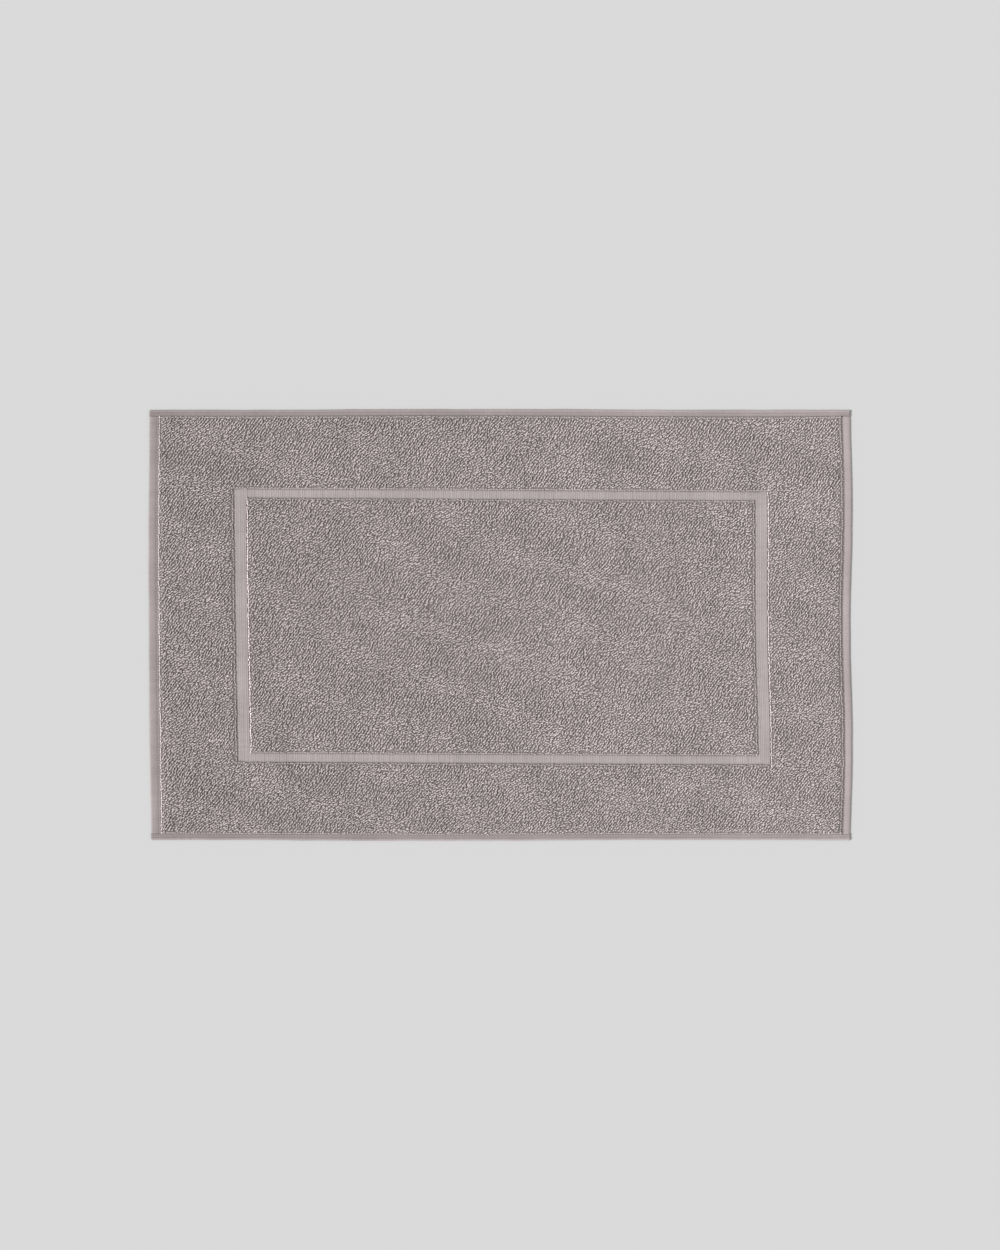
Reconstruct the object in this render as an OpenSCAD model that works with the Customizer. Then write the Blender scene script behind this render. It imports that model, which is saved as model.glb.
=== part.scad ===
// Framed terry bath mat: one woven cloth with loop pile on both faces, a flat woven frame,
// double-turned hems on all four edges, lockstitched seams and a sewn-in care label.
// The mat lies on the floor at z = 0, with its length along X and its width along Y.

/* [Finished size] */
// Length, from end fold to end fold
mat_length = 805; // [600:5:1100]
// Width, from side fold to side fold
mat_width = 494; // [400:2:700]

/* [Woven layout] */
// Width of the pile border beside each end hem
border_end_w = 86; // [40:1:120]
// Width of the pile border beside each side hem
border_side_w = 83; // [40:1:110]
// Width of the frame band across each end
band_end_w = 15; // [6:0.5:40]
// Width of the frame band along each side
band_side_w = 10.5; // [6:0.5:40]

/* [Cloth] */
// Thickness of the ground cloth
cloth_t = 0.9; // [0.5:0.05:1.4]
// Height of the loops above the ground cloth
pile_h = 3.5; // [2:0.1:8]
// Height of the loops under the ground cloth, pressed flat by the mat's weight
under_pile_h = 1.9; // [1:0.1:6]
// How far the frame's flat woven yarn stands off each face of the ground cloth
band_rise = 0.5; // [0.2:0.05:0.9]

/* [Hems] */
// Width of the hem across each end
hem_end_w = 11; // [8:0.5:20]
// Width of the hem along each side
hem_side_w = 7.5; // [6:0.5:20]
// Air left between the folded layers of a hem
fold_gap = 0.05; // [0.02:0.01:0.2]
// How far the raw edge, turned inside, stops short of the outer fold
raw_edge_setback = 0.6; // [0.2:0.1:1.5]

/* [Seams] */
// Distance from a hem's inner edge to its seam
seam_in = 2.2; // [1.6:0.1:3]
// Thickness of the sewing thread
thread_d = 0.4; // [0.25:0.05:0.5]
// How deep the needle thread sinks into the top of a hem
needle_sink = 0.25; // [0.05:0.05:0.4]
// Width of the dent that a thread pulls into the hem, beyond the thread itself
dent_clearance = 0.2; // [0.05:0.05:0.4]
// Length of the locking stitches at each end of a side seam
tack_length = 12; // [6:1:20]

/* [Care label] */
// Width of the label tape, along the hem
label_w = 26; // [15:1:40]
// Length that lies flat under the pile
label_length = 42; // [20:1:60]
// Thickness of the folded tape
label_t = 0.3; // [0.2:0.05:0.5]
// Distance from the label's middle to the mat's middle line
label_offset = 150; // [50:5:180]

/* [Hidden] */

// Colours of the dyed cotton and of the label tape
pile_colour = [0.56, 0.50, 0.50];
ground_colour = [0.48, 0.43, 0.43];
band_colour = [0.66, 0.60, 0.60];
hem_colour = [0.60, 0.54, 0.54];
thread_colour = [0.66, 0.59, 0.58];
label_colour = [0.90, 0.89, 0.87];

// Distances from the mat's middle to each boundary of the weave, along X and along Y
end_x = mat_length / 2;
hem_x = end_x - hem_end_w;
frame_x = hem_x - border_end_w;
centre_x = frame_x - band_end_w;
side_y = mat_width / 2;
hem_y = side_y - hem_side_w;
frame_y = hem_y - border_side_w;
centre_y = frame_y - band_side_w;

// Heights. A hem is three layers of cloth: its top layer carries on from the ground cloth,
// and the ground cloth lies as low as the two turned layers and the lower pile allow.
lap = cloth_t + fold_gap;
hem_h = 2 * lap + cloth_t;
ground_z = max(under_pile_h, 2 * lap);
top_z = ground_z + cloth_t;
hem_z = top_z - hem_h;
outer_fold_r = hem_h / 2;
inner_fold_r = (2 * cloth_t + fold_gap) / 2;

// Seams and label
dent_w = thread_d + dent_clearance;
bobbin_sink = thread_d + fold_gap;
tack_y = hem_y + seam_in + dent_w / 2;
label_z = ground_z - under_pile_h + fold_gap;
past = 1; // how far a cut runs past the face it opens
fold_sides = 32;
thread_sides = 8;

// A rectangular piece of cloth or pile between two corners, from height z up by h
module slab(x0, x1, y0, y1, z, h) {
    translate([x0, y0, z]) cube([x1 - x0, y1 - y0, h]);
}

// The four places round the mat: the child is drawn on the +X end or the +Y side
module on_end(side) {
    if (side == "left") mirror([1, 0, 0]) children();
    else children();
}
module on_side(side) {
    if (side == "front") mirror([0, 1, 0]) children();
    else children();
}

// Woven base under all the pile and under the frame
module ground_cloth() {
    color(ground_colour) slab(-hem_x, hem_x, -hem_y, hem_y, ground_z, cloth_t);
}

// Loop pile of the middle field
module centre_pile() {
    color(pile_colour) slab(-centre_x, centre_x, -centre_y, centre_y, top_z, pile_h);
}
module centre_pile_under() {
    color(pile_colour)
        slab(-centre_x, centre_x, -centre_y, centre_y, ground_z - under_pile_h, under_pile_h);
}

// Loop pile of the border: the end strips run the whole width between the side hems
module border_end(z, h) {
    slab(frame_x, hem_x, -hem_y, hem_y, z, h);
}
module border_side(z, h) {
    slab(-frame_x, frame_x, frame_y, hem_y, z, h);
}
module border_pile_end(side) {
    color(pile_colour) on_end(side) border_end(top_z, pile_h);
}
module border_pile_side(side) {
    color(pile_colour) on_side(side) border_side(top_z, pile_h);
}
module border_pile_under_end(side) {
    color(pile_colour) difference() {
        on_end(side) border_end(ground_z - under_pile_h, under_pile_h);
        if (side == "left") label_tape(past);
    }
}
module border_pile_under_side(side) {
    color(pile_colour) on_side(side) border_side(ground_z - under_pile_h, under_pile_h);
}

// Flat woven frame: the end bands take the corners, the side bands lie between them
module band_end(z) {
    slab(centre_x, frame_x, -frame_y, frame_y, z, band_rise);
}
module band_side(z) {
    slab(-centre_x, centre_x, centre_y, frame_y, z, band_rise);
}
module frame_band_end(side, z) {
    color(band_colour) on_end(side) band_end(z);
}
module frame_band_side(side, z) {
    color(band_colour) on_side(side) band_side(z);
}

// Section across a double-turned hem of width w: the pile is at x = 0 and the outer fold at x = w.
// The cloth runs out along the top, round the outer fold, back along the bottom,
// round the inner fold and out again between the other two layers.
module hem_section(w) {
    fold_x = w - outer_fold_r;
    difference() {
        union() {
            translate([0, 2 * lap]) square([fold_x, cloth_t]);
            translate([inner_fold_r, 0]) square([fold_x - inner_fold_r, hem_h]);
            translate([inner_fold_r, inner_fold_r]) circle(inner_fold_r, $fn = fold_sides);
            translate([fold_x, outer_fold_r]) circle(outer_fold_r, $fn = fold_sides);
        }
        translate([-past, 2 * lap - fold_gap]) square([fold_x + past, fold_gap]);
        translate([inner_fold_r, cloth_t]) square([fold_x - inner_fold_r, fold_gap]);
        translate([fold_x - raw_edge_setback, cloth_t])
            square([raw_edge_setback, hem_h - 2 * cloth_t]);
        translate([fold_x, outer_fold_r]) circle(outer_fold_r - cloth_t, $fn = fold_sides);
        translate([seam_in - dent_w / 2, hem_h - needle_sink]) square([dent_w, needle_sink + past]);
        translate([seam_in - dent_w / 2, -past]) square([dent_w, bobbin_sink + past]);
    }
}

// Extrudes a section along a hem, its x pointing out over the +X end or the +Y side
module along_end(length) {
    translate([hem_x, 0, hem_z]) rotate([90, 0, 0]) linear_extrude(length, center = true) children();
}
module along_side(length) {
    translate([0, hem_y, hem_z]) rotate([90, 0, 90]) linear_extrude(length, center = true) children();
}

// The side hems are sewn last and run the whole length, over the ends of the end hems
module end_hem(side) {
    color(hem_colour) on_end(side) along_end(2 * hem_y) hem_section(hem_end_w);
}
module side_hem(side) {
    color(hem_colour) on_side(side) along_side(mat_length) hem_section(hem_side_w);
}

// Thread of a seam in section, resting on one of its flats at height z
module thread_section(z) {
    flat_r = thread_d / 2 / cos(180 / thread_sides);
    translate([seam_in, z + thread_d / 2])
        rotate(180 / thread_sides) circle(flat_r, $fn = thread_sides);
}
module needle_thread_end(side) {
    color(thread_colour) on_end(side) along_end(2 * hem_y) thread_section(hem_h - needle_sink);
}
module needle_thread_side(side) {
    color(thread_colour) on_side(side) along_side(mat_length - thread_d) thread_section(hem_h - needle_sink);
}
module bobbin_thread_end(side) {
    color(thread_colour) on_end(side) along_end(2 * hem_y) thread_section(bobbin_sink - thread_d);
}
module bobbin_thread_side(side) {
    color(thread_colour) on_side(side) along_side(mat_length - thread_d) thread_section(bobbin_sink - thread_d);
}

// Locking stitches beside the side seams, at the four corners
module corner_tacks() {
    color(thread_colour)
        for (sx = [0, 1], sy = [0, 1])
            mirror([sx, 0, 0]) mirror([0, sy, 0])
                translate([end_x - tack_length - thread_d, tack_y, top_z])
                    cube([tack_length, thread_d, thread_d]);
}

// Folded tape: it comes up beside the left hem's inner fold and lies flat under the pile.
// As a cut in the pile it runs past the pile's lower face and end.
module label_tape(past_faces) {
    translate([-hem_x - past_faces, label_offset - label_w / 2, label_z - past_faces])
        cube([label_length + past_faces, label_w, label_t + past_faces]);
    translate([-hem_x - past_faces, label_offset - label_w / 2, label_z - past_faces])
        cube([label_t + past_faces, label_w, ground_z - label_z + past_faces]);
}
module care_label() {
    color(label_colour) label_tape(0);
}

ground_cloth();
centre_pile();
border_pile_end("left");  // border_pile_left
border_pile_end("right");  // border_pile_right
border_pile_side("front");  // border_pile_front
border_pile_side("back");  // border_pile_back
centre_pile_under();
border_pile_under_end("left");  // border_pile_under_left
border_pile_under_end("right");  // border_pile_under_right
border_pile_under_side("front");  // border_pile_under_front
border_pile_under_side("back");  // border_pile_under_back
frame_band_end("left", top_z);  // frame_band_left
frame_band_end("right", top_z);  // frame_band_right
frame_band_side("front", top_z);  // frame_band_front
frame_band_side("back", top_z);  // frame_band_back
frame_band_end("left", ground_z - band_rise);  // frame_band_under_left
frame_band_end("right", ground_z - band_rise);  // frame_band_under_right
frame_band_side("front", ground_z - band_rise);  // frame_band_under_front
frame_band_side("back", ground_z - band_rise);  // frame_band_under_back
end_hem("left");  // end_hem_left
end_hem("right");  // end_hem_right
side_hem("front");  // side_hem_front
side_hem("back");  // side_hem_back
needle_thread_end("left");  // needle_thread_left
needle_thread_end("right");  // needle_thread_right
needle_thread_side("front");  // needle_thread_front
needle_thread_side("back");  // needle_thread_back
bobbin_thread_end("left");  // bobbin_thread_left
bobbin_thread_end("right");  // bobbin_thread_right
bobbin_thread_side("front");  // bobbin_thread_front
bobbin_thread_side("back");  // bobbin_thread_back
corner_tacks();
care_label();
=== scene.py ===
import math

import bpy
import numpy as np
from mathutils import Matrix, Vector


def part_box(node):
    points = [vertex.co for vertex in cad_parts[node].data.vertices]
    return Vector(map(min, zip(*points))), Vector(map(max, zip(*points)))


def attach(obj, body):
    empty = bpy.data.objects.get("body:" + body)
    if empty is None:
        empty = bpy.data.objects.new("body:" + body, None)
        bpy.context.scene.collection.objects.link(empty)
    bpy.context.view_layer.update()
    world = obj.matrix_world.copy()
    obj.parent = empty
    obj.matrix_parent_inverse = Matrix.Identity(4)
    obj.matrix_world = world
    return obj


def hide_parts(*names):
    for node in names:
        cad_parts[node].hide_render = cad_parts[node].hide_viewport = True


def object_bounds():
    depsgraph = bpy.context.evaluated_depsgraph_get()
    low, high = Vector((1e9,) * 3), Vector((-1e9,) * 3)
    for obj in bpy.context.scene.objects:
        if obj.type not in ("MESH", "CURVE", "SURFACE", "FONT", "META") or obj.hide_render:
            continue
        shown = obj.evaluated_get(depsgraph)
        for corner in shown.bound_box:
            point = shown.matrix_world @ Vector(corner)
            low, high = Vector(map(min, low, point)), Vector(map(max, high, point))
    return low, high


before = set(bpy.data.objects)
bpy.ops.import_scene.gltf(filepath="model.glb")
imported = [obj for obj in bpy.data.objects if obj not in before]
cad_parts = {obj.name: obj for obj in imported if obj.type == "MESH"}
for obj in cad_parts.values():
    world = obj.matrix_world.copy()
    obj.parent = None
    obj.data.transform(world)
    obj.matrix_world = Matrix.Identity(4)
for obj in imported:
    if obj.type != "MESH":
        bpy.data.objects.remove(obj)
cad_low, cad_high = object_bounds()
half_length, half_width = cad_high.x, cad_high.y


# The camera hangs straight above the middle of the mat and looks down at it, with the mat's
# length across the picture and its back edge at the top.
PICTURE_ASPECT = 1.25  # height to width
MAT_SHARE = 0.702  # of the picture's width
LENS_MM, SENSOR_MM = 85, 36

camera = bpy.data.objects.new("camera", bpy.data.cameras.new("camera"))
camera.data.lens = LENS_MM
camera.data.sensor_width = SENSOR_MM
framed_height = 2 * half_length / MAT_SHARE * PICTURE_ASPECT
camera.location = (0, 0, framed_height * LENS_MM / SENSOR_MM)
bpy.context.scene.collection.objects.link(camera)
bpy.context.scene.camera = camera


# The ground cloth is the plain-woven cotton base of the whole mat. The pile loops and the flat
# frame are woven into it, and its edges run on into the hems. It lies loosely on the floor, so
# nothing on the mat is quite straight: every piece is laid with the same slight skew and waves.
MM = 0.001
WEAVE_SHIFT = (2.0 * MM, -2.2 * MM)  # of the woven frame against the cut edges
WEAVE_SKEW, WEAVE_TURN = -0.0145, -0.0058
EDGE_FREE = 8  # power with which the shift fades out towards the edges
CORNER_PULL, LEFT_INSET = 2.1 * MM, 0.3 * MM  # outwards at the left corners, inwards at the middle
END_WAVE, END_TURNS, END_START, RIGHT_INSET = 1.2 * MM, 5.7, 0.55, 0.2 * MM  # of the right edge
SIDE_WAVE, SIDE_TURNS, SIDE_APART, SIDE_START = 0.5 * MM, 4.1, 1.3, 0.6  # of front and back edge
LIFT, MEAN_LIFT, RIPPLE = 0.55 * MM, 1.4, 0.35  # height of the waves; their mean and ripple, of it
GROUND_CELLS = (90, 56)
COTTON_COLOUR = (0.283, 0.2455, 0.2465)
DYE_PATCHES, DYE_STREAKS, DYE_SLUBS = 0.38, 0.16, 0.24  # how far each makes the dye uneven


def lay(points):
    """Points of the flat mat, moved to where the cloth lies: the woven frame a little shifted and
    turned, the cut edges in long waves, and the cloth lifted in broad waves with a finer ripple."""
    x, y, z = points.T
    along, across = x / half_length, y / half_width
    inside = (1 - along**EDGE_FREE) * (1 - across**EDGE_FREE)
    to_left, to_right = ((1 - along) / 2) ** 3, ((1 + along) / 2) ** 3
    left_edge = CORNER_PULL * (across**2 - 0.5 * across) - LEFT_INSET
    right_edge = END_WAVE * np.cos(END_TURNS * (across - END_START)) - RIGHT_INSET
    dx = inside * (WEAVE_SHIFT[0] + WEAVE_SKEW * y) + to_left * left_edge + to_right * right_edge
    side_edge = SIDE_WAVE * np.sin(SIDE_TURNS * along + SIDE_APART * np.sign(across) + SIDE_START)
    dy = inside * (WEAVE_SHIFT[1] + WEAVE_TURN * x) + across**4 * side_edge
    wave = np.sin(9.0 * x + 4.0 * y + 0.4) * np.cos(6.5 * y - 5.0 * x + 1.1)
    ripple = np.sin(31.0 * x - 12.0 * y) * np.sin(23.0 * y + 7.0 * x + 2.0)
    settled = np.maximum(np.abs(along), np.abs(across)) ** EDGE_FREE
    dz = LIFT * (MEAN_LIFT + wave + RIPPLE * ripple) * (1 - settled)
    return np.stack([x + dx, y + dy, np.maximum(z + dz, 0)], axis=1)


def corners(mesh):
    """The places of all corners of a mesh."""
    points = np.zeros(len(mesh.vertices) * 3, np.float32)
    mesh.vertices.foreach_get("co", points)
    return points.reshape(-1, 3).astype(float)


def move_corners(mesh, points):
    """Puts the corners of a mesh at these places."""
    mesh.vertices.foreach_set("co", points.astype(np.float32).ravel())
    mesh.update()


def mark(mesh, label, values):
    """Stores a number for each corner of a mesh, for its material or its tree to read."""
    mesh.attributes.new(label, "FLOAT", "POINT").data.foreach_set("value", values)


def add(tree, kind, inputs=(), **settings):
    """A new node in a tree, with values or links on its inputs."""
    made = tree.nodes.new(kind)
    for key, value in settings.items():
        setattr(made, key, value)
    for key, value in dict(inputs).items():
        if isinstance(value, bpy.types.NodeSocket):
            tree.links.new(value, made.inputs[key])
        else:
            made.inputs[key].default_value = value
    return made


def maths(tree, operation, first, second=0.0, third=0.0):
    """The result of a Math node."""
    inputs = {0: first, 1: second, 2: third}
    return add(tree, "ShaderNodeMath", inputs, operation=operation).outputs[0]


def noise(tree, coordinates, stretch, scale, detail=2.0):
    """Noise from 0 to 1, on coordinates stretched along each axis."""
    turned = add(tree, "ShaderNodeMapping", {"Vector": coordinates, "Scale": stretch})
    inputs = {"Vector": turned.outputs[0], "Scale": scale, "Detail": detail}
    return add(tree, "ShaderNodeTexNoise", inputs).outputs["Fac"]


def cotton(name, colour, yarn_shade=0.0, darkest_painted_shade=1.0, fibre=0.3, ribs=0.0, sheen=0.3, painted_light_to_x=0.02):
    """Dyed cotton with a fibrous surface. The dye is uneven in patches, along the threads and from
    yarn to yarn. Painted shade darkens it where the stored painted light is low, as at the roots
    of the loops, and painted light makes it a little lighter towards +X."""
    material = bpy.data.materials.new(name)
    material.use_nodes = True
    tree = material.node_tree
    place = add(tree, "ShaderNodeTexCoord").outputs["Object"]
    patches = noise(tree, place, (1, 1, 1), 19, 3)
    warp_streaks = noise(tree, place, (260, 9, 1), 1, 1)
    weft_streaks = noise(tree, place, (9, 240, 1), 1, 1)
    slubs = noise(tree, place, (1, 1.6, 1), 420, 1)
    x = add(tree, "ShaderNodeSeparateXYZ", {0: place}).outputs[0]
    tone_and_painted_light = 1.0
    for pattern, depth in ((patches, DYE_PATCHES), (warp_streaks, DYE_STREAKS),
                           (weft_streaks, DYE_STREAKS), (slubs, DYE_SLUBS)):
        tone_and_painted_light = maths(tree, "MULTIPLY_ADD", pattern, depth, maths(tree, "SUBTRACT", tone_and_painted_light, depth / 2))
    # Painted light: a little lighter towards +X, standing in for the light falling unevenly across the
    # mat.
    tone_and_painted_light = maths(tree, "MULTIPLY_ADD", x, painted_light_to_x, tone_and_painted_light)
    if yarn_shade:
        shade = add(tree, "ShaderNodeAttribute", attribute_name="shade").outputs["Fac"]
        tone_and_painted_light = maths(tree, "MULTIPLY_ADD", shade, yarn_shade, tone_and_painted_light)
    # Painted shade: darker where the stored painted light is low, at the roots of the loops and in the
    # marked hollows; values above 1 paint it lighter.
    if darkest_painted_shade < 1:
        painted_light = add(tree, "ShaderNodeAttribute", attribute_name="painted_light").outputs["Fac"]
        painted_light = maths(tree, "POWER", maths(tree, "MAXIMUM", painted_light, 0.0), 2.0)
        depth = maths(tree, "MULTIPLY_ADD", painted_light, 1 - darkest_painted_shade, darkest_painted_shade)
        tone_and_painted_light = maths(tree, "MULTIPLY", tone_and_painted_light, depth)
    tinted_with_painted_light = add(tree, "ShaderNodeVectorMath", {0: colour, "Scale": tone_and_painted_light}, operation="SCALE")
    fuzz = noise(tree, place, (1, 1, 1), 2600, 2)
    relief = add(tree, "ShaderNodeBump", {"Strength": fibre, "Distance": 0.25 * MM, "Height": fuzz})
    if ribs:
        picks = add(tree, "ShaderNodeTexWave", {"Vector": place, "Scale": ribs}, bands_direction="Y")
        inputs = {"Strength": 0.5, "Distance": 0.15 * MM, "Height": picks.outputs["Fac"],
                  "Normal": relief.outputs[0]}
        relief = add(tree, "ShaderNodeBump", inputs)
    shader = tree.nodes["Principled BSDF"]
    tree.links.new(tinted_with_painted_light.outputs[0], shader.inputs["Base Color"])
    tree.links.new(relief.outputs[0], shader.inputs["Normal"])
    shader.inputs["Roughness"].default_value = 0.92
    shader.inputs["Specular IOR Level"].default_value = 0.2
    shader.inputs["Sheen Weight"].default_value = sheen
    shader.inputs["Sheen Roughness"].default_value = 0.45
    return material


def finished(name, mesh, slot, *nodes):
    """Lays a mesh as a piece that rides on the mat and stands for its CAD nodes."""
    move_corners(mesh, lay(corners(mesh)))
    piece = bpy.data.objects.new(name, mesh)
    bpy.context.scene.collection.objects.link(piece)
    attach(piece, "root")
    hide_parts(*nodes)
    return piece


def closed_slab(low, high, cells):
    """A thin closed slab with its two large faces cut into cells."""
    columns, rows = cells
    xs, ys = np.linspace(low[0], high[0], columns + 1), np.linspace(low[1], high[1], rows + 1)
    grid_y, grid_x = np.meshgrid(ys, xs, indexing="xy")
    grid_x, grid_y = grid_x.ravel(), grid_y.ravel()
    top = np.stack([grid_x, grid_y, np.full(grid_x.size, high[2])], axis=1)
    bottom = np.stack([grid_x, grid_y, np.full(grid_x.size, low[2])], axis=1)
    count, step = len(top), rows + 1
    faces = []
    for i in range(columns):
        for j in range(rows):
            a = i * step + j
            faces.append((a, a + step, a + step + 1, a + 1))
            faces.append((count + a, count + a + 1, count + a + step + 1, count + a + step))
    round_edge = [i * step for i in range(columns)]
    round_edge += [columns * step + j for j in range(rows)]
    round_edge += [i * step + rows for i in range(columns, 0, -1)]
    round_edge += list(range(rows, 0, -1))
    for a, b in zip(round_edge, round_edge[1:] + round_edge[:1]):
        faces.append((a, count + a, count + b, b))
    mesh = bpy.data.meshes.new("slab")
    mesh.from_pydata(np.concatenate([top, bottom]).tolist(), [], faces)
    return mesh


ground_low, ground_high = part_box("ground_cloth")
ground_mesh = closed_slab(ground_low, ground_high, GROUND_CELLS)
ground_mesh.materials.append(cotton("ground_cotton", COTTON_COLOUR, ribs=300))
ground = finished("base_cloth", ground_mesh, "ground_cloth", "ground_cloth")


# The pile is cotton yarn standing in closed loops on both faces of the ground cloth. Wear and
# washing have laid most loops along one diagonal, in wandering rows, and each leans its own way.
# The loops at an edge stand in line with it. Those below are pressed lower, and lie wider apart.
# The pile's colour is painted far lighter than the frame's cotton of the same dye: painted light,
# standing in for light that scatters through the fluffy yarn between the loops; the painted shade at
# the roots darkens it again.
PILE_COLOUR = (0.74, 0.634, 0.635)
ROW_PITCH, LOOP_PITCH, EDGE_PITCH = 2.7 * MM, 3.25 * MM, 3.1 * MM
UNDER_PITCH, UNDER_YARN = 1.6, 0.7  # times the upper pitch, and how thick the yarn is for it
MISSING = 0.02  # share of the loops pulled flat
ROW_WANDER, ROW_WAVE, ROW_SHEAR = 2.2 * MM, 95.0, 0.35
ROW_STRAY, STRAY_WAVE = 1.5, 17  # how unlike its neighbours a row wanders
ROW_SEED, PILE_SEED, SEED_STEP = 11, 100, 10
YARN_THICKNESS = 1.5 * MM
LOOP_REACH = 4.0 * MM
LOOP_FOOT, LOOP_BULGE = 0.3, 1.1  # half the way between its feet, and its handles, of its reach
LOOP_CROWN = 1.33  # height of its handles, of its own
LOOP_SCATTER = 0.56 * MM
LOOP_LEAN = math.radians(15)
LAY_ANGLE, LAY_SPREAD = math.radians(42), math.radians(18)
STATURE = (0.87, 1.0)
EDGE_GAP = 1.2 * MM  # between an edge row and the edge of the pile
EDGE_ROOM = 0.6  # between an edge row and the rows inside it, of their pitch
EDGE_LOOSE, EDGE_STATURE = 0.7, 0.84  # scatter and height of the edge loops, of the others'
# The edge rows are painted lighter on the left edges of the pile, a painted highlight where the light
# from the left falls on the pile's wall, and darker on the others, in painted shade; the nap leans to
# the right, off the left edges.
LIT_EDGE_PAINTED_LIGHT, SHADED_EDGE_PAINTED_LIGHT = 0.96, 0.7  # painted light of the edge rows: lit on the left edges, shaded on others
CENTRE_EDGE_PAINTED_LIGHT = 1.16  # painted highlight at the left edge of the centre field
NAP_LEAN = 0.6 * MM
EDGE_ROLL, SEAM_PULL = 7.0 * MM, 0.4  # how far in, and how much, a hem's seam pulls the pile down
FEET_SUNK = 0.3 * MM
BED_SHARE = 0.4  # of the pile's height, filled by the legs of the loops
BED_CELL, BED_LUMPS, BED_MARGIN = 4.6 * MM, 0.45 * MM, 1.0 * MM
UPPER_LOOP = {"Sides": 4, "Segments": 3}
LOWER_LOOP = {"Sides": 3, "Segments": 3}
CENTRE_PARTS = ("left", "middle", "right")
LABEL_THICKNESS, LABEL_CLEARANCE = 0.3 * MM, 0.3 * MM  # of the care label that lies under the pile
SOCKET_KINDS = {float: "NodeSocketFloat", int: "NodeSocketInt", tuple: "NodeSocketVector"}


def new_tree(name, sizes):
    """A Geometry Nodes tree with a named input for each size and one for the material."""
    tree = bpy.data.node_groups.new(name, "GeometryNodeTree")
    tree.is_modifier = True
    sockets = tree.interface
    sockets.new_socket("Geometry", in_out="OUTPUT", socket_type="NodeSocketGeometry")
    sockets.new_socket("Geometry", in_out="INPUT", socket_type="NodeSocketGeometry")
    for label, value in sizes.items():
        sockets.new_socket(label, in_out="INPUT", socket_type=SOCKET_KINDS[type(value)])
    sockets.new_socket("Material", in_out="INPUT", socket_type="NodeSocketMaterial")
    return tree, tree.nodes.new("NodeGroupInput").outputs


def rounded(tree, path, sides, radius):
    """A closed thread of this radius along a curve, shaded as round."""
    ring = add(tree, "GeometryNodeCurvePrimitiveCircle", {"Resolution": sides, "Radius": radius})
    inputs = {"Curve": path, "Profile Curve": ring.outputs[0], "Fill Caps": True}
    thread = add(tree, "GeometryNodeCurveToMesh", inputs)
    return add(tree, "GeometryNodeSetShadeSmooth", {0: thread.outputs[0]}).outputs[0]


def end_tree(tree, instances, asked):
    """Ends a tree: the instances are made real and get their material."""
    real = add(tree, "GeometryNodeRealizeInstances", {0: instances})
    inputs = {"Geometry": real.outputs[0], "Material": asked["Material"]}
    coloured = add(tree, "GeometryNodeSetMaterial", inputs)
    add(tree, "NodeGroupOutput", {0: coloured.outputs[0]})


def grown(tree, sizes, material, source=None):
    """The flat mesh that a tree makes with these sizes, from a source mesh where it needs one."""
    carrier = bpy.data.objects.new("carrier", source or bpy.data.meshes.new("carrier"))
    bpy.context.scene.collection.objects.link(carrier)
    modifier = carrier.modifiers.new("grow", "NODES")
    modifier.node_group = tree
    for socket in tree.interface.items_tree:
        if socket.in_out == "INPUT" and socket.name in sizes:
            modifier[socket.identifier] = sizes[socket.name]
        elif socket.name == "Material":
            modifier[socket.identifier] = material
    state = bpy.context.evaluated_depsgraph_get()
    mesh = bpy.data.meshes.new_from_object(carrier.evaluated_get(state), depsgraph=state)
    carrier.modifiers.remove(modifier)
    bpy.data.objects.remove(carrier)
    return mesh


def random_between(tree, low, high, seed):
    """A random number for each instance."""
    inputs = {2: low, 3: high, "Seed": seed}
    return add(tree, "FunctionNodeRandomValue", inputs, data_type="FLOAT").outputs[1]


LOOP_SIZES = {
    "Middle": (0.0, 0.0, 0.0), "Turn": (0.0, 0.0, 0.0), "Bed": (0.1, 0.1, 0.1), "Bed columns": 10,
    "Bed rows": 10, "Bed lumps": 0.0, "Scatter": 0.0, "Reach": 0.0, "Height": 0.0, "Yarn": 0.0,
    "Lay spread": 0.0, "Lean": 0.0, "Shortest": 1.0, "Tallest": 1.0, "Sides": 4, "Segments": 4,
    "Seed": 0,
}


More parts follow.
